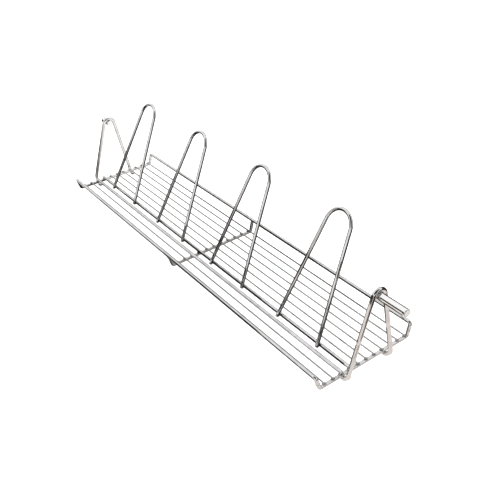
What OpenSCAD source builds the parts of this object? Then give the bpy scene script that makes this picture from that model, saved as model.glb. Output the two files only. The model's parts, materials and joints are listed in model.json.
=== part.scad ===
// Dish drying rack for an 800 mm wide cabinet.
// A shallow welded wire tray carries four leaning plate loops. A bent wire hanger hooks under
// each end wire of the tray and swings on it. Each hanger carries a support peg, a long one
// at the right end and a short one at the left end.
// X runs along the rack, Y from front to back, Z up. The origin is the middle of the space
// that the whole rack takes up, on the plane where the hooks' undersides rest.

/* [Tray] */
// Length between the centres of the two end wires
rack_l = 800; // [700:1:900]
// Depth of the flat base between its front and rear corners
base_w = 171.3; // [160:0.1:200]
// Height of the rims above the end wires, centre to centre
rim_h = 22; // [20:0.5:40]
// Lean of each rim outwards past the corner of the base
rim_out = 6.2; // [2:0.1:10]
// Diameter of the frame wire: rims, end wires, rods and loops
frame_d = 6; // [5:0.1:6]
// Centreline radius of the bends in the frame wire
frame_bend_r = 4.5; // [4.5:0.1:8]

/* [Grid] */
// Diameter of the thin grid wires
grid_d = 2.5; // [2:0.1:4]
// Distance from the front corner of the base to the first grid wire
grid_front = 8.8; // [8:0.1:12]
// Distance from the last grid wire to the rear corner of the base
grid_back = 5.5; // [5:0.1:12]
// Length of the grid wires and rods past the centre of each end wire
grid_over = 2; // [1:0.1:3]

/* [Plate loops] */
// Distance from each end wire to the middle of the loop next to it
loop_inset = 110.65; // [90:0.05:140]
// Distance between a loop's legs where they meet the rod
loop_w = 94.4; // [80:0.1:110]
// Length of a loop from the rod to the top of its arch
loop_h = 195.6; // [150:0.1:240]
// Centreline radius of the arch at the top of a loop
loop_top_r = 25.4; // [15:0.1:35]
// Angle by which the loops lean back
loop_lean = 28.6; // [10:0.1:30]
// Length of each leg below the line where it meets the rod
loop_tail = 4.4; // [3:0.1:4.5]

/* [Hangers] */
// Diameter of the hanger wire
hanger_d = 7; // [6:0.1:7]
// Distance from the end wire out to the plane of the hanger
hanger_x = 12; // [10.5:0.1:14]
// Distance of the front hook behind the axis of the front rod
hook_front_gap = 3.3; // [3:0.1:8]
// Distance of the rear hook behind the sixth grid wire
hook_rear_gap = 5.8; // [5.5:0.1:8]
// Distance of the hanger's top behind the middle of the base
top_back = 10.35; // [0:0.05:15]
// Height of the hanger's top arch above the end wire, to the centre of the arch
top_h = 117.4; // [100:0.1:140]
// Centreline radius of the hanger's top arch
top_r = 11.5; // [10:0.1:13]
// Play between a hook and the end wire inside it
hook_play = 0.3; // [0.3:0.05:0.4]

/* [Peg] */
// Diameter of the support pegs
peg_d = 12; // [8:0.1:12]
// Length of the long peg outside the plane of the right hanger
peg_out = 51; // [31:0.5:70]
// Length of the short peg outside the plane of the left hanger
short_peg_out = 23.5; // [15:0.5:30]
// Length of a peg inside the plane of its hanger
peg_in = 5.5; // [4:0.1:12]
// Chamfer on the ends of a peg
peg_chamfer = 0.8; // [0.5:0.1:1.5]
// Diameter of a peg's seat, where it is welded under the hanger's arch
peg_seat_d = 11; // [7:0.1:11]
// Distance from the outer face of the hanger to the shoulder of its peg
peg_shoulder = 1; // [0.5:0.1:3]

/* [Hidden] */
$fn = 48;

// Fit at a welded contact
weld_gap = 0.05;

// A bend draws the wire this much thinner, and the straight wire laps over each end of it
bend_thin = 0.02;
lap = 0.1;

// Places of the grid row, counted from the front: two of them hold the rods
grid_slots = [0, 1, 4, 5, 6, 7, 8, 9, 10];
front_rod_slot = 2;
rear_rod_slot = 3;
last_slot = 10;
grid_pitch = (base_w - grid_front - grid_back) / last_slot;
function slot_y(slot) = grid_front + slot * grid_pitch - base_w / 2;
grid_z = (frame_d + grid_d) / 2 + weld_gap;
rod_z = frame_d + weld_gap;

// Risers from the base up to the rims, and the seam where a rim meets an end wire
riser_lean = atan2(rim_out, rim_h);
riser_l = norm([rim_out, rim_h]);
base_turn = 90 - riser_lean;
base_tangent = frame_bend_r * tan(base_turn / 2);
seam = (base_tangent + riser_l - frame_bend_r) / 2;
rim_end = riser_l - frame_bend_r - seam - weld_gap;
riser_top = riser_l - frame_d / 2 - weld_gap;

// A loop: its legs run straight from the rod to the arch
loop_count = 4;
loop_pitch = (rack_l - 2 * loop_inset) / (loop_count - 1);
loop_c = loop_h - loop_top_r;
loop_reach = norm([loop_w / 2, loop_c]);
loop_angle = acos(loop_top_r / loop_reach) - atan2(loop_c, loop_w / 2);
loop_leg = sqrt(pow(loop_reach, 2) - pow(loop_top_r, 2));

// A hook: from its tip round the underside of the end wire, then a slant out to the hanger's plane
hook_r = (frame_d + hanger_d) / 2 + hook_play;
hook_tip = 205;
slant = 45;
hook_turn = 270 + slant - hook_tip;
offset_r = 8;
upright_l = 0.5;
slant_l = (hanger_x - hook_r * sin(slant) - offset_r * (1 - sin(slant))) / cos(slant);
leg_z = (offset_r - hook_r) * cos(slant) + slant_l * sin(slant) + upright_l;

// The two legs of a hanger, tangent to a small bend at the foot and to the arch at the top
foot_r = 12;
function leg_span(y) = norm([y - foot_r, top_h - leg_z]);
function leg_lean(y) = atan2(y - foot_r, top_h - leg_z) + asin((foot_r - top_r) / leg_span(y));
function leg_l(y) = sqrt(pow(leg_span(y), 2) - pow(foot_r - top_r, 2));
hook_front = slot_y(front_rod_slot) + hook_front_gap;
hook_rear = slot_y(grid_slots[5]) + hook_rear_gap;
front_reach = top_back - hook_front;
rear_reach = hook_rear - top_back;
arch_turn = 180 - leg_lean(front_reach) - leg_lean(rear_reach);

// The peg touches the underside of the arch
peg_z = top_h + top_r - (hanger_d + peg_seat_d) / 2 - weld_gap;

// The whole rack stands on its hooks, centred on what it takes up from end to end
stand_z = hook_r + hanger_d / 2;
centre_x = (peg_out - short_peg_out) / 2;

module placed() {
    translate([-centre_x, 0, stand_z]) children();
}

// Arc of wire that turns from +Z towards +X
module bend(d, r, turn) {
    translate([r, 0, 0])
        rotate([90, 0, 180])
            rotate_extrude(angle = turn) translate([r, 0]) circle(d = d - bend_thin);
}

// Bent wire: each step is [straight length, bend radius, bend angle, roll before the step]
module wire(d, steps, i = 0) {
    if (i < len(steps)) {
        l = steps[i][0];
        r = steps[i][1];
        turn = steps[i][2];
        lap_before = i > 0 ? lap : 0;
        lap_after = turn > 0 ? lap : 0;
        rotate([0, 0, steps[i][3]]) {
            if (l > 0)
                translate([0, 0, -lap_before]) cylinder(d = d, h = lap_before + l + lap_after);
            translate([0, 0, l]) {
                if (turn > 0) bend(d, r, turn);
                translate([r * (1 - cos(turn)), 0, r * sin(turn)])
                    rotate([0, turn, 0]) wire(d, steps, i + 1);
            }
        }
    }
}

// Front rim with its two ends bent down to the seams
module rim() {
    color("silver") placed()
        translate([-rack_l / 2, -base_w / 2, 0])
            rotate([riser_lean, 0, 0])
                translate([0, 0, seam + weld_gap])
                    wire(frame_d, [
                        [rim_end, frame_bend_r, 90, 0],
                        [rack_l - 2 * frame_bend_r, frame_bend_r, 90, 0],
                        [rim_end, 0, 0, 0]
                    ]);
}

module front_rim() { rim(); }
module rear_rim() { mirror([0, 1, 0]) rim(); }

// Wire across the base with both ends bent up the risers to a height along them
module cross_wire(x, top) {
    color("silver") placed()
        translate([x, -base_w / 2, 0])
            rotate([riser_lean, 0, 0])
                translate([0, 0, top])
                    rotate([180, 0, 90])
                        wire(frame_d, [
                            [top - base_tangent, frame_bend_r, base_turn, 0],
                            [base_w - 2 * base_tangent, frame_bend_r, base_turn, 0],
                            [top - base_tangent, 0, 0, 0]
                        ]);
}

module left_end_wire() { cross_wire(-rack_l / 2, seam); }
module right_end_wire() { cross_wire(rack_l / 2, seam); }
module middle_wire() { cross_wire(0, riser_top); }

// Straight wire along the rack, lying on the cross wires
module long_wire(d, slot, z) {
    color("silver") placed()
        translate([-rack_l / 2 - grid_over, slot_y(slot), z])
            rotate([0, 90, 0]) cylinder(d = d, h = rack_l + 2 * grid_over);
}

module grid_wire(n) { long_wire(grid_d, grid_slots[n - 1], grid_z); }
module front_rod() { long_wire(frame_d, front_rod_slot, rod_z); }
module rear_rod() { long_wire(frame_d, rear_rod_slot, rod_z); }

// Plate loop, leaning back against the front of the rear rod
module loop(n) {
    color("silver") placed()
        translate([(n - (loop_count + 1) / 2) * loop_pitch, slot_y(rear_rod_slot), rod_z])
            rotate([-loop_lean, 0, 0])
                translate([-loop_w / 2, -frame_d - weld_gap, 0])
                    rotate([0, loop_angle, 0])
                        translate([0, 0, -loop_tail])
                            wire(frame_d, [
                                [loop_tail + loop_leg, loop_top_r, 180 - 2 * loop_angle, 0],
                                [loop_leg + loop_tail, 0, 0, 0]
                            ]);
}

// Hanger of one wire, hooked under an end wire whose axis it swings about
module hanger() {
    color("silver")
        translate([rack_l / 2 + hook_r * cos(hook_tip), hook_front, hook_r * sin(hook_tip)])
            rotate([180, 180 - hook_tip, 0])
                wire(hanger_d, [
                    [0, hook_r, hook_turn, 0],
                    [slant_l, offset_r, 90 - slant, 0],
                    [upright_l, foot_r, leg_lean(front_reach), -90],
                    [leg_l(front_reach), top_r, arch_turn, 0],
                    [leg_l(rear_reach), foot_r, leg_lean(rear_reach), 0],
                    [upright_l, offset_r, 90 - slant, 90],
                    [slant_l, hook_r, hook_turn, 0]
                ]);
}

module right_hanger() { placed() hanger(); }
module left_hanger() { placed() mirror([1, 0, 0]) hanger(); }

// Support peg under the arch of a hanger: a seat, then the free shank
module support_peg(out) {
    seat_l = peg_in + hanger_d / 2 + peg_shoulder - peg_chamfer;
    shank_l = out - hanger_d / 2 - peg_shoulder - peg_chamfer;
    color("gainsboro")
        translate([rack_l / 2 + hanger_x - peg_in, top_back, peg_z])
            rotate([0, 90, 0]) {
                cylinder(d1 = peg_seat_d - 2 * peg_chamfer, d2 = peg_seat_d, h = peg_chamfer);
                translate([0, 0, peg_chamfer]) {
                    cylinder(d = peg_seat_d, h = seat_l);
                    translate([0, 0, seat_l]) {
                        cylinder(d = peg_d, h = shank_l);
                        translate([0, 0, shank_l])
                            cylinder(d1 = peg_d, d2 = peg_d - 2 * peg_chamfer, h = peg_chamfer);
                    }
                }
            }
}

module peg() { placed() support_peg(peg_out); }

module short_peg() { placed() mirror([1, 0, 0]) support_peg(short_peg_out); }

front_rim();
rear_rim();
left_end_wire();
right_end_wire();
middle_wire();
grid_wire(1);  // grid_wire_1
grid_wire(2);  // grid_wire_2
grid_wire(3);  // grid_wire_3
grid_wire(4);  // grid_wire_4
grid_wire(5);  // grid_wire_5
grid_wire(6);  // grid_wire_6
grid_wire(7);  // grid_wire_7
grid_wire(8);  // grid_wire_8
grid_wire(9);  // grid_wire_9
front_rod();
rear_rod();
loop(1);  // loop_1
loop(2);  // loop_2
loop(3);  // loop_3
loop(4);  // loop_4
left_hanger();
right_hanger();
peg();
short_peg();
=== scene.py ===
# %% [markdown]
# # A wire dish drying rack
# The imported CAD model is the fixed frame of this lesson. It gives every wire's place and size, and
# tells which wires move together. The lesson dresses that frame: it sweeps each wire again with a
# smooth, deburred surface, adds the welds that hold the rack together, plates everything with
# chrome, and stands it in a plain white studio.

import json
import math

import bpy
from mathutils import Matrix, Vector


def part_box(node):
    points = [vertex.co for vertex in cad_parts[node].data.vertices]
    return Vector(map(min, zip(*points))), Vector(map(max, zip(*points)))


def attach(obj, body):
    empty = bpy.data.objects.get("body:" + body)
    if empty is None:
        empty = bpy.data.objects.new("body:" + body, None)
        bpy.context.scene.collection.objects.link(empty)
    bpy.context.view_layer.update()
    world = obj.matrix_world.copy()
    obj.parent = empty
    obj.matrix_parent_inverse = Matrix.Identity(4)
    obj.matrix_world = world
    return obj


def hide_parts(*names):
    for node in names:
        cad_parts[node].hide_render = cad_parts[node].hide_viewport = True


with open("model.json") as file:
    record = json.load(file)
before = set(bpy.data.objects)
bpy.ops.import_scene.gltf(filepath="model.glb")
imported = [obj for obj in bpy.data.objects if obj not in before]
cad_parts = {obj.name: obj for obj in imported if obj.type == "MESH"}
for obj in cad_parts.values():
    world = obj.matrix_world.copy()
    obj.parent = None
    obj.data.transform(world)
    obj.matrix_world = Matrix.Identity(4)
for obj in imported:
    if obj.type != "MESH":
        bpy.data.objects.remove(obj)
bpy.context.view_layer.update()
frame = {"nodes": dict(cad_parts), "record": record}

# %% [markdown]
# ## Sizes of the rack
# The rack has few sizes: four wire diameters, the bend radii, and where the wires cross.
# These names and values drive the solids, here in metres. Places come from the CAD boxes.

# %% Sizes and places
MM = 0.001
FRAME_D = 6 * MM
GRID_D = 2.5 * MM
HANGER_D = 7 * MM
FRAME_BEND = 4.5 * MM
WELD_GAP = 0.05 * MM


def middle(node):
    low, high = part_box(node)
    return (Vector(low) + Vector(high)) / 2


left_x = middle("left_end_wire").x
right_x = middle("right_end_wire").x
mid_x = middle("middle_wire").x
cross_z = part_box("middle_wire")[0][2] + FRAME_D / 2
rod_y = middle("rear_rod").y
rod_z = middle("rear_rod").z
print("end wires at", round(left_x, 4), round(right_x, 4), "cross wires at height", round(cross_z, 4))

# %% [markdown]
# ## A wire as a path
# A wire bender works in steps: feed a length of wire, turn the head, bend by an angle. The same list
# of steps traces the middle line of each bent wire here. A short turn between two points keeps each
# bend smooth, so nothing has to be smoothed afterwards.

# %% Trace the steps of a bent wire
BEND_STEP = math.radians(6)


def trace(start, ahead, side, steps):
    """Points along a wire; each step is (straight length, bend radius, bend angle, roll before it)."""
    place, ahead, side = Vector(start), Vector(ahead).normalized(), Vector(side).normalized()
    points = [place.copy()]
    for length, radius, turn, roll in steps:
        side = Matrix.Rotation(roll, 3, ahead) @ side
        if length > 0:
            place = place + ahead * length
            points.append(place.copy())
        if turn > 0:
            centre = place + side * radius
            axis = ahead.cross(side)
            count = max(2, math.ceil(turn / BEND_STEP))
            for i in range(1, count + 1):
                spin = Matrix.Rotation(turn * i / count, 3, axis)
                points.append(centre + spin @ (place - centre))
            whole = Matrix.Rotation(turn, 3, axis)
            place, ahead, side = points[-1].copy(), whole @ ahead, whole @ side
    return points


quarter = trace((0, 0, 0), (0, 0, 1), (1, 0, 0), [(0.02, 0.008, math.pi / 2, 0), (0.02, 0, 0, 0)])
print("a quarter bend has", len(quarter), "points and ends at", [round(v, 4) for v in quarter[-1]])

# %% [markdown]
# ## The frame of the tray
# A rim and an end wire meet in a seam half way up the short riser at each corner, where the real
# ring of wire is butt-welded. The risers lean out, so the tray flares a little towards its rims.
# The middle wire is bent the same way, and stops just under the rims that it carries.

# %% Paths of the rims and the cross wires
BASE_W = 171.3 * MM
RIM_H = 22 * MM
RIM_OUT = 6.2 * MM
riser = math.hypot(RIM_OUT, RIM_H)
lean_out = math.atan2(RIM_OUT, RIM_H)
base_turn = math.pi / 2 - lean_out
base_tangent = FRAME_BEND * math.tan(base_turn / 2)
seam = (base_tangent + riser - FRAME_BEND) / 2


def rim_path(side):
    up = Vector((0, side * math.sin(lean_out), math.cos(lean_out)))
    start = Vector((left_x, side * BASE_W / 2, cross_z)) + up * seam
    end_l = riser - FRAME_BEND - seam
    span = right_x - left_x - 2 * FRAME_BEND
    return trace(start, up, (1, 0, 0), [
        (end_l, FRAME_BEND, math.pi / 2, 0),
        (span, FRAME_BEND, math.pi / 2, 0),
        (end_l, 0, 0, 0)])


def cross_path(x, top):
    down = Vector((0, math.sin(lean_out), -math.cos(lean_out)))
    inward = Vector((0, math.cos(lean_out), math.sin(lean_out)))
    start = Vector((x, -BASE_W / 2, cross_z)) - down * top
    end_l = top - base_tangent
    return trace(start, down, inward, [
        (end_l, FRAME_BEND, base_turn, 0),
        (BASE_W - 2 * base_tangent, FRAME_BEND, base_turn, 0),
        (end_l, 0, 0, 0)])


paths = {
    "front_rim": rim_path(-1),
    "rear_rim": rim_path(1),
    "left_end_wire": cross_path(left_x, seam),
    "right_end_wire": cross_path(right_x, seam),
    "middle_wire": cross_path(mid_x, riser - FRAME_D / 2 - WELD_GAP),
}
print("frame wires:", {name: len(path) for name, path in paths.items()}, "points")

# %% [markdown]
# ## The grid and the two rods
# Eleven straight wires lie across the cross wires at one even pitch. Nine are thin; the third and
# fourth from the front are as thick as the frame, because the plate loops are welded to one of them.

# %% Paths of the straight wires
straight = [name for name in frame["nodes"] if name.startswith("grid_wire") or name.endswith("_rod")]
for name in straight:
    low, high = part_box(name)
    at = middle(name)
    paths[name] = [Vector((low[0], at.y, at.z)), Vector((high[0], at.y, at.z))]
print("straight wires:", len(straight), "each", round((high[0] - low[0]) / MM, 1), "mm long")

# %% [markdown]
# ## The plate loops
# Each loop is one wire: a leg, a round arch, a leg. It leans back, and its feet pass in front of the
# rear rod, where they are welded. Both legs run straight from the rod to the arch, so their lean
# towards each other follows from the width at the rod and the radius of the arch.

# %% Paths of the loops
LOOP_W = 94.4 * MM
LOOP_H = 195.6 * MM
LOOP_TOP_R = 25.4 * MM
LOOP_LEAN = math.radians(28.6)
LOOP_TAIL = 4.4 * MM
loop_up = Vector((0, math.sin(LOOP_LEAN), math.cos(LOOP_LEAN)))
loop_front = Vector((0, -math.cos(LOOP_LEAN), math.sin(LOOP_LEAN)))


def loop_path(x):
    foot = Vector((x - LOOP_W / 2, rod_y, rod_z)) + loop_front * (FRAME_D + WELD_GAP)
    arch = LOOP_H - LOOP_TOP_R
    reach = math.hypot(LOOP_W / 2, arch)
    tilt = math.acos(LOOP_TOP_R / reach) - math.atan2(arch, LOOP_W / 2)
    leg = math.sqrt(reach ** 2 - LOOP_TOP_R ** 2) + LOOP_TAIL
    ahead = loop_up * math.cos(tilt) + Vector((math.sin(tilt), 0, 0))
    side = Vector((math.cos(tilt), 0, 0)) - loop_up * math.sin(tilt)
    steps = [(leg, LOOP_TOP_R, math.pi - 2 * tilt, 0), (leg, 0, 0, 0)]
    return trace(foot - ahead * LOOP_TAIL, ahead, side, steps)


loops = sorted(name for name in frame["nodes"] if name.startswith("loop_"))
for name in loops:
    paths[name] = loop_path(middle(name).x)
print("loops at", [round(middle(name).x, 4) for name in loops])

# %% [markdown]
# ## The hangers
# A hanger is the longest bend in the rack: a hook under the end wire, a slant out past the ends of
# the grid, a leg, the arch, and the same again backwards. The hooks are round the end wire's own
# axis, so the hanger can swing on it.

# %% Paths of the hangers
HOOK_PLAY = 0.3 * MM
HOOK_R = (FRAME_D + HANGER_D) / 2 + HOOK_PLAY
HOOK_TIP = math.radians(205)
SLANT = math.radians(45)
HOOK_TURN = math.radians(270) + SLANT - HOOK_TIP
HOOK_FRONT_GAP = 3.3 * MM
HOOK_REAR_GAP = 5.8 * MM
OFFSET_R = 8 * MM
UPRIGHT = 0.5 * MM
HANGER_X = 12 * MM
FOOT_R = 12 * MM
TOP_R = 11.5 * MM
TOP_H = 117.4 * MM
TOP_BACK = 10.35 * MM
hook_front = middle("front_rod").y + HOOK_FRONT_GAP
hook_rear = middle("grid_wire_6").y + HOOK_REAR_GAP
slant_l = (HANGER_X - HOOK_R * math.sin(SLANT) - OFFSET_R * (1 - math.sin(SLANT))) / math.cos(SLANT)
leg_z = (OFFSET_R - HOOK_R) * math.cos(SLANT) + slant_l * math.sin(SLANT) + UPRIGHT


def leg_shape(reach):
    """Lean and length of a leg that is tangent to the bend at its foot and to the arch."""
    across, up = reach - FOOT_R, TOP_H - leg_z
    span = math.hypot(across, up)
    lean = math.atan2(across, up) + math.asin((FOOT_R - TOP_R) / span)
    return lean, math.sqrt(span ** 2 - (FOOT_R - TOP_R) ** 2)


def hanger_path(end_x, out):
    """out is 1 at the right end and -1 at the left end, where the bends turn the other way."""
    lean_1, leg_1 = leg_shape(TOP_BACK - hook_front)
    lean_2, leg_2 = leg_shape(hook_rear - TOP_BACK)
    tip = Vector((out * math.cos(HOOK_TIP), 0, math.sin(HOOK_TIP)))
    start = Vector((end_x, hook_front, cross_z)) + tip * HOOK_R
    ahead = (-out * math.sin(HOOK_TIP), 0, math.cos(HOOK_TIP))
    side = (-out * math.cos(HOOK_TIP), 0, -math.sin(HOOK_TIP))
    roll = out * math.pi / 2
    return trace(start, ahead, side, [
        (0, HOOK_R, HOOK_TURN, 0),
        (slant_l, OFFSET_R, math.pi / 2 - SLANT, 0),
        (UPRIGHT, FOOT_R, lean_1, -roll),
        (leg_1, TOP_R, math.pi - lean_1 - lean_2, 0),
        (leg_2, FOOT_R, lean_2, 0),
        (UPRIGHT, OFFSET_R, math.pi / 2 - SLANT, roll),
        (slant_l, HOOK_R, HOOK_TURN, 0)])


paths["left_hanger"] = hanger_path(left_x, -1)
paths["right_hanger"] = hanger_path(right_x, 1)
hanger_points = paths["right_hanger"]
hanger_l = sum((b - a).length for a, b in zip(hanger_points, hanger_points[1:]))
print("hanger wire:", round(hanger_l, 3), "m long")

# %% [markdown]
# ## Node trees from a script
# A node tree can be drawn by hand or written. Written trees stay the same each time, and their inputs
# have names that a later cell can set. Three helpers keep that short: one starts a tree with its
# inputs and outputs, one adds a node, and one does arithmetic.

# %% Helpers for node trees
def make_group(name, kind, inputs, outputs):
    group = bpy.data.node_groups.new(name, kind)
    for label, socket, value in inputs:
        made = group.interface.new_socket(label, in_out="INPUT", socket_type=socket)
        if value is not None:
            made.default_value = value
    for label, socket in outputs:
        group.interface.new_socket(label, in_out="OUTPUT", socket_type=socket)
    return group, group.nodes.new("NodeGroupInput"), group.nodes.new("NodeGroupOutput")


def add(tree, kind, settings=None, **values):
    """A node with its settings, and with its inputs set or linked by name."""
    node = tree.nodes.new(kind)
    for key, value in (settings or {}).items():
        setattr(node, key, value)
    for key, value in values.items():
        label = key.replace("_", " ")
        socket = next(s for s in node.inputs if s.enabled and s.name == label)
        if isinstance(value, bpy.types.NodeSocket):
            tree.links.new(value, socket)
        else:
            socket.default_value = value
    return node


def calculate(tree, operation, a, b=None, clamp=False):
    """The result of a Math node on one or two numbers or sockets."""
    node = add(tree, "ShaderNodeMath", {"operation": operation, "use_clamp": clamp})
    for socket, value in zip(node.inputs, (a, b)):
        if isinstance(value, bpy.types.NodeSocket):
            tree.links.new(value, socket)
        elif value is not None:
            socket.default_value = value
    return node.outputs["Value"]


print("node helpers ready")

# %% [markdown]
# ## Chrome plating
# Chrome on drawn steel wire isn't a perfect mirror. The drawing die leaves fine lines along the
# wire, and the plating is a little cloudy in places. These effects are shared by every wire, so they
# are one shader group. It gives a colour, a roughness and a height; the shader itself stays in each
# material. The group reads a place whose Z runs along the wire, and is squeezed there, so its lines
# run along the wire too.

# %% The plating group
CLOUD_SCALE = 60.0
CLEAR_BELOW, CLOUDY_ABOVE = 0.45, 0.75
LINE_SCALE = 2600.0
LINE_STRETCH = 0.02


def plating_group():
    group, given, result = make_group(
        "chrome_plating", "ShaderNodeTree",
        [("Vector", "NodeSocketVector", None), ("Bright", "NodeSocketColor", (0.86, 0.86, 0.87, 1)),
         ("Cloudy", "NodeSocketColor", (0.7, 0.7, 0.71, 1)), ("Polish", "NodeSocketFloat", 0.06),
         ("Haze", "NodeSocketFloat", 0.12)],
        [("Color", "NodeSocketColor"), ("Roughness", "NodeSocketFloat"), ("Height", "NodeSocketFloat")])
    place = given.outputs["Vector"]
    cloud = add(group, "ShaderNodeTexNoise", Vector=place, Scale=CLOUD_SCALE, Detail=3.0)
    stretch = add(group, "ShaderNodeMapping", Vector=place, Scale=(1.0, 1.0, LINE_STRETCH))
    lines = add(group, "ShaderNodeTexNoise", Vector=stretch.outputs["Vector"], Scale=LINE_SCALE, Detail=2.0)
    ramp = add(group, "ShaderNodeMapRange", Value=cloud.outputs["Fac"],
               From_Min=CLEAR_BELOW, From_Max=CLOUDY_ABOVE)
    share = ramp.outputs["Result"]
    tone = add(group, "ShaderNodeMix", {"data_type": "RGBA"}, Factor=share,
               A=given.outputs["Bright"], B=given.outputs["Cloudy"])
    color = next(s for s in tone.outputs if s.enabled)
    haze = calculate(group, "MULTIPLY", share, given.outputs["Haze"])
    group.links.new(color, result.inputs["Color"])
    group.links.new(calculate(group, "ADD", haze, given.outputs["Polish"]), result.inputs["Roughness"])
    group.links.new(lines.outputs["Fac"], result.inputs["Height"])
    return group


plating = plating_group()
print("plating group:", [s.name for s in plating.interface.items_tree])

# %% [markdown]
# ## A material for each kind of wire
# Every wire has the same chrome in a different tone: darker on the thin grid wires, a little warmer on the
# hangers and paler on the pegs. These tones are painted: shade on the grid, a warm reflection on the
# hangers, and light
# on the pegs. A weld is dark and scaly: partly its own scale, partly painted contact shade where wires meet.
# The
# pattern follows the wire, not the room: every swept wire carries an attribute, wire_coord, which is the
# place that a point had before the wire was bent, across the wire in X and Y and along it in Z. A weld has
# no wire to follow, so it uses the object's own coordinates.

# %% Chrome materials
def chrome(name, bright, cloudy, polish, haze, line_depth, coordinates="wire_coord"):
    material = bpy.data.materials.new(name)
    material.use_nodes = True
    tree = material.node_tree
    shader = tree.nodes["Principled BSDF"]
    shader.inputs["Metallic"].default_value = 1.0
    if coordinates == "object":
        vector = add(tree, "ShaderNodeTexCoord").outputs["Object"]
    else:
        vector = add(tree, "ShaderNodeAttribute", {"attribute_name": coordinates}).outputs["Vector"]
    finish = tree.nodes.new("ShaderNodeGroup")
    finish.node_tree = plating
    tree.links.new(vector, finish.inputs["Vector"])
    finish.inputs["Bright"].default_value = (*bright, 1)
    finish.inputs["Cloudy"].default_value = (*cloudy, 1)
    finish.inputs["Polish"].default_value = polish
    finish.inputs["Haze"].default_value = haze
    bump = add(tree, "ShaderNodeBump", Height=finish.outputs["Height"], Strength=1.0, Distance=line_depth)
    tree.links.new(finish.outputs["Color"], shader.inputs["Base Color"])
    tree.links.new(finish.outputs["Roughness"], shader.inputs["Roughness"])
    tree.links.new(bump.outputs["Normal"], shader.inputs["Normal"])
    return material


LINE_DEPTH = 0.002 * MM
SCALE_DEPTH = 0.02 * MM
# Painted shade, reflection and light: the grid chrome is darker, the hanger chrome warmer and the peg chrome
# paler than the frame chrome.
materials = {
    "frame_wire": chrome("frame_chrome", (0.76, 0.755, 0.75), (0.58, 0.575, 0.57), 0.05, 0.08, LINE_DEPTH),
    "grid_wire": chrome("grid_chrome", (0.46, 0.445, 0.44), (0.34, 0.33, 0.325), 0.07, 0.1, LINE_DEPTH),
    "loop_wire": chrome("loop_chrome", (0.78, 0.775, 0.77), (0.62, 0.615, 0.61), 0.04, 0.06, LINE_DEPTH),
    "hanger_wire": chrome("hanger_chrome", (0.82, 0.80, 0.785), (0.66, 0.64, 0.625), 0.05, 0.08, LINE_DEPTH),
    "peg": chrome("peg_chrome", (0.95, 0.95, 0.95), (0.86, 0.86, 0.86), 0.04, 0.05, LINE_DEPTH),
    # Painted contact shade: the weld chrome is dark where wires meet, on top of its own scaly, cloudy
    # patches.
    "weld": chrome("weld_scale_and_contact_shade", (0.42, 0.41, 0.40), (0.10, 0.095, 0.09), 0.12, 0.2, SCALE_DEPTH, "object"),
}
print("materials:", sorted(materials))

# %% [markdown]
# ## Sweeping a wire with Geometry Nodes
# One tree serves all the wires. It takes a path, rounds the two cut ends by shrinking the radius
# over the last fraction of a millimetre, sweeps a circle along the path, and keeps the straight-wire
# coordinates that the plating reads. A swept mesh is smooth where the CAD mesh has facets.

# %% The wire tree
SHARP_EDGE = math.radians(35)


def named(tree, kind, name):
    """Reads an attribute by its name."""
    return add(tree, "GeometryNodeInputNamedAttribute", {"data_type": kind}, Name=name).outputs["Attribute"]


def stored(tree, kind, geometry, name, value):
    """Stores a value on the points of a geometry under a name."""
    settings = {"data_type": kind, "domain": "POINT"}
    node = add(tree, "GeometryNodeStoreNamedAttribute", settings, Geometry=geometry, Name=name, Value=value)
    return node.outputs["Geometry"]


def rounded_ends(tree, radius, deburr):
    """The length along the wire, and the wire's scale there: 1, or less where an end is rounded."""
    along = add(tree, "GeometryNodeSplineParameter").outputs["Length"]
    total = add(tree, "GeometryNodeSplineLength").outputs["Length"]
    nearest = calculate(tree, "MINIMUM", along, calculate(tree, "SUBTRACT", total, along))
    share = calculate(tree, "MINIMUM", calculate(tree, "DIVIDE", nearest, deburr), 1.0)
    fall = calculate(tree, "SUBTRACT", 1.0, share)
    inside = calculate(tree, "SUBTRACT", 1.0, calculate(tree, "MULTIPLY", fall, fall))
    drop = calculate(tree, "SUBTRACT", 1.0, calculate(tree, "SQRT", inside))
    shrunk = calculate(tree, "SUBTRACT", radius, calculate(tree, "MULTIPLY", drop, deburr))
    return along, calculate(tree, "DIVIDE", shrunk, radius)


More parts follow.
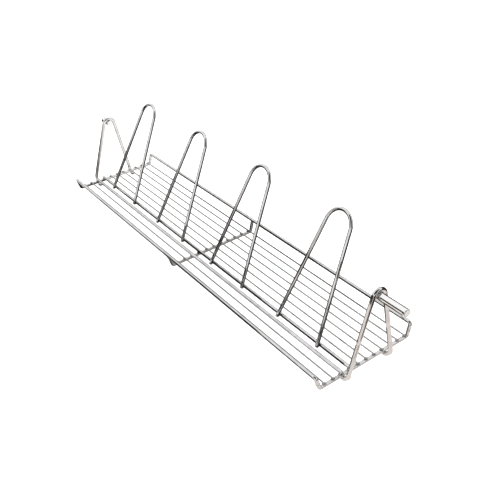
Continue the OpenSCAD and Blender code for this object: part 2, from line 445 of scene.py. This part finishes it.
def wire_tree():
    tree, given, result = make_group(
        "bent_wire", "GeometryNodeTree",
        [("Geometry", "NodeSocketGeometry", None), ("Diameter", "NodeSocketFloat", 6 * MM),
         ("Deburr", "NodeSocketFloat", 0.6 * MM), ("Sides", "NodeSocketInt", 24),
         ("Material", "NodeSocketMaterial", None)],
        [("Geometry", "NodeSocketGeometry")])
    radius = calculate(tree, "MULTIPLY", given.outputs["Diameter"], 0.5)
    curve = add(tree, "GeometryNodeMeshToCurve", Mesh=given.outputs["Geometry"])
    along, scale = rounded_ends(tree, radius, given.outputs["Deburr"])
    path = stored(tree, "FLOAT", curve.outputs["Curve"], "wire_along", along)
    circle = add(tree, "GeometryNodeCurvePrimitiveCircle", Resolution=given.outputs["Sides"], Radius=radius)
    place = add(tree, "GeometryNodeInputPosition").outputs["Position"]
    profile = stored(tree, "FLOAT_VECTOR", circle.outputs["Curve"], "wire_across", place)
    swept = add(tree, "GeometryNodeCurveToMesh", Curve=path, Profile_Curve=profile,
                Scale=scale, Fill_Caps=True)
    across = add(tree, "ShaderNodeSeparateXYZ", Vector=named(tree, "FLOAT_VECTOR", "wire_across"))
    unbent = add(tree, "ShaderNodeCombineXYZ", X=across.outputs["X"], Y=across.outputs["Y"],
                 Z=named(tree, "FLOAT", "wire_along")).outputs["Vector"]
    marked = stored(tree, "FLOAT_VECTOR", swept.outputs["Mesh"], "wire_coord", unbent)
    smooth = add(tree, "GeometryNodeSetShadeSmooth", {"domain": "FACE"}, Geometry=marked, Shade_Smooth=True)
    angle = add(tree, "GeometryNodeInputMeshEdgeAngle").outputs["Unsigned Angle"]
    sharp = calculate(tree, "GREATER_THAN", angle, SHARP_EDGE)
    edged = add(tree, "GeometryNodeSetShadeSmooth", {"domain": "EDGE"},
                Geometry=smooth.outputs["Geometry"], Selection=sharp, Shade_Smooth=False)
    real = add(tree, "GeometryNodeRealizeInstances", Geometry=edged.outputs["Geometry"])
    plated = add(tree, "GeometryNodeSetMaterial", Geometry=real.outputs["Geometry"],
                 Material=given.outputs["Material"])
    tree.links.new(plated.outputs["Geometry"], result.inputs["Geometry"])
    return tree


bent_wire = wire_tree()
print("wire tree:", len(bent_wire.nodes), "nodes")

# %% [markdown]
# ## From a path to a finished piece
# The tree's result is turned into a plain mesh, so the piece carries no live modifier. Extra points
# close to each end give the rounded edge something to bend with.

# %% Make one piece with a tree
def run_tree(name, mesh, tree, values):
    """An object with a plain mesh, made by a tree from a starting mesh and the values of its inputs."""
    piece = bpy.data.objects.new(name, mesh)
    bpy.context.scene.collection.objects.link(piece)
    modifier = piece.modifiers.new(name, "NODES")
    modifier.node_group = tree
    sockets = {s.name: s.identifier for s in tree.interface.items_tree if s.in_out == "INPUT"}
    for label, value in values.items():
        modifier[sockets[label]] = value
    shaped = piece.evaluated_get(bpy.context.evaluated_depsgraph_get())
    shape = bpy.data.meshes.new_from_object(shaped)
    piece.modifiers.clear()
    piece.data = shape
    return piece


DEBURR = 0.6 * MM
END_STEPS = (0.06, 0.25, 0.55, 1.0)


def path_mesh(name, points):
    """The path as a string of edges, with extra points where the ends are rounded."""
    first, last = points[0], points[-1]
    ahead, back = (points[1] - first).normalized(), (points[-2] - last).normalized()
    head = [first] + [first + ahead * DEBURR * s for s in END_STEPS]
    tail = [last + back * DEBURR * s for s in reversed(END_STEPS)] + [last]
    line = head + list(points[1:-1]) + tail
    mesh = bpy.data.meshes.new(name + "_path")
    mesh.from_pydata([tuple(p) for p in line], [(i, i + 1) for i in range(len(line) - 1)], [])
    return mesh


print("each end of a wire gets", len(END_STEPS), "extra points within", DEBURR / MM, "mm")

# %% [markdown]
# ## All the wires
# Every wire goes through the same tree. The record says which body each wire belongs to and which
# material slot it has, so these aren't written again here. Each finished wire takes the place of its
# CAD node, and the largest distance between the two boxes is a check on the paths.

# %% Sweep every wire
WIRE_SIDES = 32
slot_of = {part["node"]: part["material_slot"] for part in frame["record"]["subparts"]}
bodies = frame["record"]["behaviour"]["bodies"]
body_of = {node: body for body, nodes in bodies.items() for node in nodes}
diameters = {"frame_wire": FRAME_D, "grid_wire": GRID_D, "loop_wire": FRAME_D, "hanger_wire": HANGER_D}


def box_distance(piece, node):
    """The largest distance between a piece's box and its CAD node's box, over all six sides."""
    low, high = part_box(node)
    corners = [Vector(c) for c in piece.bound_box]
    return max(max(abs(min(c[i] for c in corners) - low[i]), abs(max(c[i] for c in corners) - high[i]))
               for i in range(3))


worst = 0
for node, points in paths.items():
    slot = slot_of[node]
    piece = run_tree("chrome_" + node, path_mesh(node, points), bent_wire, {
        "Diameter": diameters[slot], "Deburr": DEBURR, "Sides": WIRE_SIDES, "Material": materials[slot]})
    worst = max(worst, box_distance(piece, node))
    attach(piece, body_of[node])
    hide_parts(node)
print("wires swept:", len(paths), "largest distance from the CAD boxes:", round(worst / MM, 3), "mm")

# %% [markdown]
# ## The pegs
# A peg is a turned pin. It has a slightly thinner seat, which is welded under the arch of its hanger,
# a square shoulder, and a free shank with broken edges. A lathe makes it by turning one profile, so
# the mesh is made the same way: the profile is carried round the peg's axis.

# %% Turn the two pegs
PEG_D = 12 * MM
PEG_SEAT_D = 11 * MM
PEG_SEAT_L = 10 * MM
PEG_EDGE = 0.8 * MM
PEG_SHOULDER_EDGE = 0.1 * MM
PEG_SIDES = 64


def peg_profile(length):
    """(distance from the inner end, radius) from the middle of one end to the middle of the other."""
    seat, shank = PEG_SEAT_D / 2, PEG_D / 2
    turns = [math.radians(a) for a in (0, 22.5, 45, 67.5, 90)]
    edge = [(PEG_EDGE * (1 - math.cos(a)), PEG_EDGE * (1 - math.sin(a))) for a in turns]
    inner = [(along, seat - drop) for along, drop in edge]
    shoulder = [(PEG_SEAT_L, seat), (PEG_SEAT_L, shank - PEG_SHOULDER_EDGE),
                (PEG_SEAT_L + PEG_SHOULDER_EDGE, shank)]
    outer = [(length - along, shank - drop) for along, drop in reversed(edge)]
    return [(0, seat / 2)] + inner + shoulder + outer + [(length, shank / 2)]


def turned_peg(name, start, out, length, material):
    """A peg turned round a line along X; out is 1 when it points to +X and -1 when it points to -X."""
    rings = peg_profile(length)
    points, coords, faces = [], [], []
    for along, radius in rings:
        for i in range(PEG_SIDES):
            a = math.tau * i / PEG_SIDES
            across = Vector((0, radius * math.cos(a), radius * math.sin(a)))
            points.append(start + across + Vector((out * along, 0, 0)))
            coords.append((across.y, across.z, along))
    for end, along in ((0, 0.0), (len(rings) - 1, length)):
        points.append(start + Vector((out * along, 0, 0)))
        coords.append((0, 0, along))
        centre = len(points) - 1
        for i in range(PEG_SIDES):
            a, b = end * PEG_SIDES + i, end * PEG_SIDES + (i + 1) % PEG_SIDES
            faces.append((centre, b, a) if end == 0 else (centre, a, b))
    for r in range(len(rings) - 1):
        for i in range(PEG_SIDES):
            a, b = r * PEG_SIDES + i, r * PEG_SIDES + (i + 1) % PEG_SIDES
            faces.append((a, b, b + PEG_SIDES, a + PEG_SIDES))
    if out < 0:
        faces = [tuple(reversed(face)) for face in faces]
    mesh = bpy.data.meshes.new(name)
    mesh.from_pydata(points, [], faces)
    attribute = mesh.attributes.new("wire_coord", "FLOAT_VECTOR", "POINT")
    attribute.data.foreach_set("vector", [v for coord in coords for v in coord])
    mesh.shade_smooth()
    mesh.set_sharp_from_angle(angle=SHARP_EDGE)
    mesh.materials.append(material)
    piece = bpy.data.objects.new(name, mesh)
    bpy.context.scene.collection.objects.link(piece)
    return piece


for node, out in (("peg", 1), ("short_peg", -1)):
    low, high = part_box(node)
    start = Vector((low[0] if out > 0 else high[0], middle(node).y, middle(node).z))
    piece = turned_peg("turned_" + node, start, out, high[0] - low[0], materials["peg"])
    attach(piece, body_of[node])
    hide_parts(node)
    print(piece.name, "length", round((high[0] - low[0]) / MM, 1), "mm")

# %% [markdown]
# ## Welds
# The rack is joined by resistance welding. Two crossed wires are squeezed together between hot
# electrodes, and a little metal is pressed out round the spot. The loop feet and the pegs get a bead
# of their own, and a ring stands at each corner seam. Every weld is a small lump with a size and a
# turn, so one tree puts a lump on each point and roughens it.

# %% The weld tree
NOISE_LOW, NOISE_HIGH = 0.3, 0.7


def weld_tree():
    tree, given, result = make_group(
        "weld_beads", "GeometryNodeTree",
        [("Geometry", "NodeSocketGeometry", None), ("Unevenness", "NodeSocketFloat", 0.4 * MM),
         ("Grain", "NodeSocketFloat", 900.0), ("Seed", "NodeSocketFloat", 3.0),
         ("Material", "NodeSocketMaterial", None)],
        [("Geometry", "NodeSocketGeometry")])
    lump = add(tree, "GeometryNodeMeshIcoSphere", Radius=1.0, Subdivisions=3)
    spread = add(tree, "GeometryNodeInstanceOnPoints", Points=given.outputs["Geometry"],
                 Instance=lump.outputs["Mesh"], Rotation=named(tree, "FLOAT_VECTOR", "bead_turn"),
                 Scale=named(tree, "FLOAT_VECTOR", "bead_size"))
    real = add(tree, "GeometryNodeRealizeInstances", Geometry=spread.outputs["Instances"])
    place = add(tree, "GeometryNodeInputPosition").outputs["Position"]
    noise = add(tree, "ShaderNodeTexNoise", {"noise_dimensions": "4D"}, Vector=place,
                W=given.outputs["Seed"], Scale=given.outputs["Grain"], Detail=1.0)
    height = add(tree, "ShaderNodeMapRange", Value=noise.outputs["Fac"],
                 From_Min=NOISE_LOW, From_Max=NOISE_HIGH, To_Min=-0.5, To_Max=0.5)
    depth = calculate(tree, "MULTIPLY", height.outputs["Result"], given.outputs["Unevenness"])
    push = add(tree, "ShaderNodeVectorMath", {"operation": "SCALE"},
               Vector=add(tree, "GeometryNodeInputNormal").outputs["Normal"], Scale=depth)
    rough = add(tree, "GeometryNodeSetPosition", Geometry=real.outputs["Geometry"],
                Offset=push.outputs["Vector"])
    smooth = add(tree, "GeometryNodeSetShadeSmooth", {"domain": "FACE"},
                 Geometry=rough.outputs["Geometry"], Shade_Smooth=True)
    plated = add(tree, "GeometryNodeSetMaterial", Geometry=smooth.outputs["Geometry"],
                 Material=given.outputs["Material"])
    tree.links.new(plated.outputs["Geometry"], result.inputs["Geometry"])
    return tree


weld_beads = weld_tree()
print("weld tree:", len(weld_beads.nodes), "nodes")

# %% [markdown]
# ## A group of weld beads
# A bead is (place, half sizes, turn). One group of beads is made for each body, because the beads on
# a hanger swing with it. The points carry each bead's size and turn as attributes, which the tree reads.

# %% Make a group of beads
UNEVENNESS = 0.9 * MM
GRAIN = 600.0
WELD_SEED = 3.0


def weld_piece(name, body, beads):
    mesh = bpy.data.meshes.new(name + "_points")
    mesh.from_pydata([tuple(place) for place, size, turn in beads], [], [])
    for label, column in (("bead_size", 1), ("bead_turn", 2)):
        attribute = mesh.attributes.new(label, "FLOAT_VECTOR", "POINT")
        attribute.data.foreach_set("vector", [v for bead in beads for v in bead[column]])
    piece = run_tree(name, mesh, weld_beads, {
        "Unevenness": UNEVENNESS, "Grain": GRAIN, "Seed": WELD_SEED, "Material": materials["weld"]})
    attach(piece, body)
    print(name, "has", len(beads), "beads")


NO_TURN = (0, 0, 0)
print("a bead's surface goes in or out by up to", UNEVENNESS / 2 / MM, "mm")

# %% [markdown]
# ## Welds of the tray
# The places follow from the wires' own sizes: a straight wire lies on a cross wire, a loop's leg passes
# the front of the rear rod, the middle wire stops under the rims, and a seam goes round each riser.

# %% Weld the tray
THIN_SPOT = (3.0 * MM, 3.2 * MM, 1.8 * MM)
ROD_SPOT = (3.8 * MM, 4.2 * MM, 2.0 * MM)
FOOT_BEAD = (3.4 * MM, 2.0 * MM, 3.2 * MM)
RIM_BEAD = (3.4 * MM, 3.2 * MM, 1.4 * MM)
SEAM_RING = (3.3 * MM, 3.3 * MM, 1.3 * MM)


def grid_beads():
    for name in straight:
        spot = ROD_SPOT if name.endswith("_rod") else THIN_SPOT
        for x in (left_x, mid_x, right_x):
            yield Vector((x, middle(name).y, cross_z + FRAME_D / 2)), spot, NO_TURN


def loop_beads():
    for name in loops:
        for side in (-1, 1):
            place = Vector((middle(name).x + side * LOOP_W / 2, rod_y, rod_z)) + loop_front * (FRAME_D / 2)
            yield place, FOOT_BEAD, (-LOOP_LEAN, 0, 0)


def rim_beads():
    rim_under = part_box("front_rim")[1][2] - FRAME_D
    for side in (-1, 1):
        yield Vector((mid_x, side * (BASE_W / 2 + RIM_OUT), rim_under)), RIM_BEAD, NO_TURN
        riser_up = Vector((0, side * math.sin(lean_out), math.cos(lean_out)))
        for x in (left_x, right_x):
            place = Vector((x, side * BASE_W / 2, cross_z)) + riser_up * seam
            yield place, SEAM_RING, (-side * lean_out, 0, 0)


weld_piece("tray_welds", "tray", [*grid_beads(), *loop_beads(), *rim_beads()])

# %% [markdown]
# ## Welds of the pegs
# A peg's seat is held under its arch by a bead on each side of the hanger's wire.

# %% Weld the pegs
PEG_BEAD = (1.6 * MM, 3.2 * MM, 1.5 * MM)
PEG_BEAD_OUT = 3.0 * MM
for node, hanger, arch_x in (
        ("peg", "right_hanger", right_x + HANGER_X), ("short_peg", "left_hanger", left_x - HANGER_X)):
    seat = Vector((arch_x, middle(node).y, middle(node).z + PEG_SEAT_D / 2))
    beads = [(seat + Vector((side * PEG_BEAD_OUT, 0, 0)), PEG_BEAD, NO_TURN) for side in (-1, 1)]
    weld_piece(node + "_welds", hanger, beads)

# %% [markdown]
# ## Camera
# A long rack is best seen from one end and above. The camera stands beyond the end with the peg, in
# front of the rack, and is tilted a little, as a hand-held camera is.

# %% Camera
LENS = 49.09
FILM_W = 36
YAW, PITCH, ROLL = math.radians(33.22), math.radians(33.04), math.radians(-4.64)
FROM_TRAY = Vector((0.9249, -0.5248, 0.6782))
camera_data = bpy.data.cameras.new("camera")
camera_data.lens = LENS
camera_data.sensor_width = FILM_W
camera = bpy.data.objects.new("camera", camera_data)
bpy.context.scene.collection.objects.link(camera)
level = Vector((-math.cos(YAW), math.sin(YAW), 0))
forward = level * math.cos(PITCH) + Vector((0, 0, -math.sin(PITCH)))
level_right = forward.cross(Vector((0, 0, 1))).normalized()
level_up = level_right.cross(forward)
right = math.cos(ROLL) * level_right + math.sin(ROLL) * level_up
up = math.cos(ROLL) * level_up - math.sin(ROLL) * level_right
camera.matrix_world = Matrix((right, up, -forward)).transposed().to_4x4()
camera.location = Vector((mid_x, 0, cross_z)) + FROM_TRAY
bpy.context.scene.camera = camera
bpy.context.scene.view_settings.view_transform = "Standard"
print("camera at", [round(v, 3) for v in camera.location])

# %% [markdown]
# ## A white floor
# The rack stands on white paper in a white room. The paper glows for the camera and for the chrome, but
# not for the rays that carry light from one thing to another, so it stays white right out to the
# horizon while the lamps alone shape the light on the rack and its soft shadow.

# %% Floor
FLOOR_HALF = 7.0
PAPER_WHITE = (0.9, 0.9, 0.9, 1)
PAPER_GLOW = 0.9


def seen_directly(tree):
    """1 for rays from the camera, off metal or through glass, 0 for the rays that light the object."""
    path = add(tree, "ShaderNodeLightPath")
    seen = calculate(tree, "ADD", path.outputs["Is Camera Ray"], path.outputs["Is Glossy Ray"])
    return calculate(tree, "ADD", seen, path.outputs["Is Transmission Ray"], clamp=True)


def glowing_paper():
    material = bpy.data.materials.new("white_paper")
    material.use_nodes = True
    tree = material.node_tree
    diffuse = tree.nodes["Principled BSDF"]
    diffuse.inputs["Base Color"].default_value = PAPER_WHITE
    diffuse.inputs["Roughness"].default_value = 1.0
    glow = add(tree, "ShaderNodeEmission", Color=(1, 1, 1, 1), Strength=PAPER_GLOW)
    both = add(tree, "ShaderNodeAddShader")
    tree.links.new(diffuse.outputs[0], both.inputs[0])
    tree.links.new(glow.outputs[0], both.inputs[1])
    pick = add(tree, "ShaderNodeMixShader", Fac=seen_directly(tree))
    tree.links.new(diffuse.outputs[0], pick.inputs[1])
    tree.links.new(both.outputs[0], pick.inputs[2])
    tree.links.new(pick.outputs[0], tree.nodes["Material Output"].inputs["Surface"])
    return material


def flat_mesh(name, corners, paper):
    mesh = bpy.data.meshes.new(name)
    mesh.from_pydata(corners, [], [range(len(corners))])
    mesh.materials.append(paper)
    return mesh


floor_corners = [(x * FLOOR_HALF, y * FLOOR_HALF, 0) for x, y in ((-1, -1), (1, -1), (1, 1), (-1, 1))]
floor = bpy.data.objects.new("floor", flat_mesh("floor", floor_corners, glowing_paper()))
bpy.context.scene.collection.objects.link(floor)
print("floor:", 2 * FLOOR_HALF, "m wide")

# %% [markdown]
# ## Papers for the reflections
# Chrome has hardly a colour of its own: it shows what stands round it. In a studio for metal goods,
# dark and pale papers are set up out of sight until the lines on the metal fall where they should.
# These papers shine by themselves, so the tone written here is the tone in the reflection. A one-way
# paper is clear from behind, so a paper meant for one wire doesn't shade the wire behind it.

# %% Papers
BLACK = (0.015, 0.014, 0.013)
BROWN = (0.05, 0.042, 0.034)
DARK_GREY = (0.09, 0.088, 0.085)
MID_GREY = (0.4, 0.38, 0.37)
BLUSH = (0.85, 0.80, 0.77)
WHITE = (1.0, 1.0, 1.0)


def card_paper(name, colour, one_way=False):
    material = bpy.data.materials.new(name)
    material.use_nodes = True
    tree = material.node_tree
    surface = add(tree, "ShaderNodeEmission", Color=(*colour, 1), Strength=1.0).outputs[0]
    if one_way:
        clear = add(tree, "ShaderNodeBsdfTransparent")
        behind = add(tree, "ShaderNodeNewGeometry").outputs["Backfacing"]
        pick = add(tree, "ShaderNodeMixShader", Fac=behind)
        tree.links.new(surface, pick.inputs[1])
        tree.links.new(clear.outputs[0], pick.inputs[2])
        surface = pick.outputs[0]
    tree.links.new(surface, tree.nodes["Material Output"].inputs["Surface"])
    return material


black = card_paper("black_card", BLACK)
blush = card_paper("blush_card", BLUSH)
black_one_way = card_paper("black_one_way", BLACK, True)
brown_one_way = card_paper("brown_one_way", BROWN, True)
dark_grey_one_way = card_paper("dark_grey_one_way", DARK_GREY, True)
mid_grey_one_way = card_paper("mid_grey_one_way", MID_GREY, True)
blush_one_way = card_paper("blush_one_way", BLUSH, True)
white_one_way = card_paper("white_one_way", WHITE, True)
print("papers ready")

# %% [markdown]
# ## Cards, fences and a wall
# A card lies flat, a fence stands upright, and a wall goes all the way round. The places of cards and
# fences are measured from the middle wire, in metres. Only reflections see any of them: the camera,
# the light and the shadows pass straight through, which no real paper allows, and which lets them
# stand close to the wires.

# %% Set up a card, a fence or a wall
WALL_SIDES = 72


def hide_from_view(name, mesh):
    card = bpy.data.objects.new(name, mesh)
    bpy.context.scene.collection.objects.link(card)
    card.visible_camera = False
    card.visible_diffuse = False
    card.visible_shadow = False
    card.visible_transmission = False


def reflected_card(name, corners, height, paper):
    """A flat card; its front is on top when the corners go round it against the clock."""
    hide_from_view(name, flat_mesh(name, [(x + mid_x, y, height) for x, y in corners], paper))


def reflected_strip(name, x_span, y_span, height, paper):
    """A flat card with four square corners."""
    (x0, x1), (y0, y1) = x_span, y_span
    reflected_card(name, [(x0, y0), (x1, y0), (x1, y1), (x0, y1)], height, paper)


def reflected_fence(name, start, end, heights, paper):
    """A standing card from start to end; its front is on the right of that walk."""
    low, high = heights
    corners = [(start, low), (end, low), (end, high), (start, high)]
    hide_from_view(name, flat_mesh(name, [(x + mid_x, y, z) for (x, y), z in corners], paper))


def height_on_wall(direction, skyline):
    """The wall's elevation in a direction, both in degrees, between the nearest points of its skyline."""
    before = max(point for point in skyline if point[0] <= direction)
    after = min(point for point in skyline if point[0] >= direction)
    share = (direction - before[0]) / (after[0] - before[0]) if after[0] > before[0] else 0
    return before[1] + share * (after[1] - before[1])


def reflected_wall(name, radius, skyline, paper):
    """A wall all round; its skyline is a list of (direction, elevation) in degrees."""
    points = []
    for i in range(WALL_SIDES + 1):
        direction = 360 * i / WALL_SIDES
        top = radius * math.tan(math.radians(height_on_wall(direction, skyline)))
        x, y = radius * math.cos(math.radians(direction)), radius * math.sin(math.radians(direction))
        points += [(x, y, 0), (x, y, top)]
    mesh = bpy.data.meshes.new(name)
    mesh.from_pydata(points, [], [(2 * i, 2 * i + 2, 2 * i + 3, 2 * i + 1) for i in range(WALL_SIDES)])
    mesh.materials.append(paper)
    hide_from_view(name, mesh)


print("cards, fences and walls can be set up")

# %% [markdown]
# ## The dark room round the rack
# A dark card on the table gives every wire a dark lower line. A pale card in front of the near end
# clears it there, where the rack stands in the light. The dark ceiling and a board give the loops and
# the hangers their thin upper lines, and a wall with a ragged skyline is the rest of the room.

# %% Table, ceiling and walls
ON_TABLE = 0.2 * MM
ON_CARD = 0.4 * MM
ON_TOP = 0.6 * MM
CEILING = 2.0
WALL_RADIUS = 4.0
reflected_strip("table_card", (-4, 4), (-4, 4), ON_TABLE, black)
reflected_card("front_card", [
    (0.34, -0.20), (0.34, -0.22), (0.24, -0.40), (0.02, -0.50), (-2.1, -3.8),
    (4, -3.8), (4, -1.93), (0.60, -0.12), (0.56, -0.20)], ON_CARD, blush)
reflected_card("ceiling_card", [
    (0.0, -2.4), (2.6, -2.4), (2.6, 1.1), (0.9, 1.1), (0.3, 0.4), (0.3, -0.1), (0.0, -0.1)], CEILING, black)
reflected_fence("right_board", (3.0, 0.3), (3.0, -1.6), (1.2, 4.2), black)
reflected_wall("low_wall", WALL_RADIUS, [
    (0, 12), (100, 12), (115, 22), (140, 22), (150, 8), (200, 8), (218, 12), (226, 28), (233, 34), (235, 12),
    (250, 8), (269, 9.5), (275, 5.5), (300, 5.5), (310, 2), (325, 2), (340, 12), (360, 12)], black)
print("the room's wall is", WALL_RADIUS, "m away")

# %% [markdown]
# ## Papers at the two ends
# The hangers are warm and pale, with one dark line down each leg. Pale cards beyond the ends, and
# fences just inside them, give the two ends of the tray and the legs their tones.

# %% Papers at the ends
reflected_strip("end_card", (0.385, 0.545), (-0.2, 0.2), ON_TOP, blush)
reflected_strip("face_card", (0.55, 0.65), (0.1, 0.2), ON_TOP, blush)
reflected_card("left_card", [(-0.66, -0.3), (-0.41, -0.3), (-0.41, 0.05), (-0.56, 0.05)], ON_TOP, blush)
reflected_fence("right_fence", (0.372, 0.35), (0.372, -0.07), (0, 0.08), dark_grey_one_way)
reflected_fence("left_fence", (-0.39, 0.3), (-0.39, -0.022), (0, 0.14), white_one_way)
reflected_fence("left_leg_fence", (-0.39, -0.022), (-0.39, -0.3), (0.05, 0.14), mid_grey_one_way)
print("papers at the ends ready")

# %% [markdown]
# ## Fences along the wires
# A long wire shows as lines along its length. A low dark fence in front of it, within about 20 mm,
# sets how bold its dark line is: the higher the fence, the wider the line. A white fence clears a
# line. The upper parts are shorter, because the lines are boldest to the right of the middle.

# %% Fences along the wires
FENCE_LEFT = -0.3
reflected_fence("middle_fence", (0.01, 0.09), (0.01, -0.09), (0, 0.03), mid_grey_one_way)
reflected_fence("rear_rod_fence", (0.39, -0.034), (FENCE_LEFT, -0.034), (0, 0.021), black_one_way)
reflected_fence("rear_rod_top_fence", (0.19, -0.034), (-0.06, -0.034), (0.021, 0.027), black_one_way)
reflected_fence("front_rod_fence", (0.39, -0.062), (-0.39, -0.062), (0.009, 0.02), white_one_way)
reflected_fence("middle_foot_fence", (0.0, -0.108), (-0.03, -0.108), (0, 0.017), white_one_way)
reflected_fence("front_rim_fence", (0.25, -0.113), (FENCE_LEFT, -0.113), (0, 0.037), black_one_way)
reflected_fence("front_rim_top_fence", (0.25, -0.113), (-0.04, -0.113), (0.037, 0.06), black_one_way)
reflected_fence("rear_rim_fence", (0.31, 0.075), (FENCE_LEFT, 0.075), (0, 0.045), black_one_way)
reflected_fence("rear_rim_top_fence", (0.17, 0.075), (0.0, 0.075), (0.045, 0.06), black_one_way)
print("fences along the wires ready")

# %% [markdown]
# ## Papers for the long peg
# The peg is thick enough to show what stands round it in detail: two brown lines along it that join
# near its outer end, with a pale gap between them, and a thin line along its top. A brown bar in front
# makes the upper line, a pale one below it the gap, shades under the peg the lower line, and a bar
# behind it the top line.

# %% Papers for the peg
reflected_strip("peg_card", (0.335, 0.43), (-0.1, 0.05), 65 * MM, blush_one_way)
reflected_strip("peg_shade", (0.335, 0.405), (-0.067, 0.05), 66 * MM, brown_one_way)
reflected_strip("peg_end_shade", (0.417, 0.455), (-0.004, 0.0148), 118 * MM, brown_one_way)
reflected_fence("peg_bar", (0.448, -0.04), (0.36, -0.04), (0.124, 0.157), brown_one_way)
reflected_fence("peg_bar_end", (0.448, -0.04), (0.44, -0.04), (0.0885, 0.124), brown_one_way)
reflected_fence("peg_bar_under", (0.44, -0.04), (0.36, -0.04), (0.0885, 0.124), blush_one_way)
reflected_fence("peg_back_bar", (0.36, 0.06), (0.455, 0.06), (0.139, 0.17), brown_one_way)
print("papers for the peg ready")

# %% [markdown]
# ## White room and lamps
# The room is white where it is seen, and dimmer as a source of light, so the floor keeps the rack's soft
# shadow. A wide lamp above and a smaller one at the side are hidden from reflections, which would show
# them as hard white squares.

# %% World and lamps
ROOM_LIGHT = 0.45
ROOM_SEEN = 1.0
world = bpy.data.worlds.new("studio")
bpy.context.scene.world = world
world.use_nodes = True
tree = world.node_tree
background = tree.nodes["Background"]
background.inputs["Color"].default_value = (1, 1, 1, 1)
brightness = add(tree, "ShaderNodeMapRange", Value=seen_directly(tree),
                 To_Min=ROOM_LIGHT, To_Max=ROOM_SEEN)
tree.links.new(brightness.outputs["Result"], background.inputs["Strength"])


def softbox(name, place, aim, size, watts):
    data = bpy.data.lights.new(name, "AREA")
    data.shape = "RECTANGLE"
    data.size, data.size_y = size
    data.energy = watts
    lamp = bpy.data.objects.new(name, data)
    lamp.location = place
    lamp.rotation_euler = (Vector(aim) - Vector(place)).to_track_quat("-Z", "Y").to_euler()
    lamp.visible_glossy = False
    bpy.context.scene.collection.objects.link(lamp)


softbox("top_softbox", place=(0.2, 0.3, 2.4), aim=(0, 0, 0), size=(3.0, 2.0), watts=30)
softbox("side_softbox", place=(1.6, -1.8, 1.6), aim=(0, 0, 0.05), size=(1.2, 1.2), watts=12)
print("studio ready")
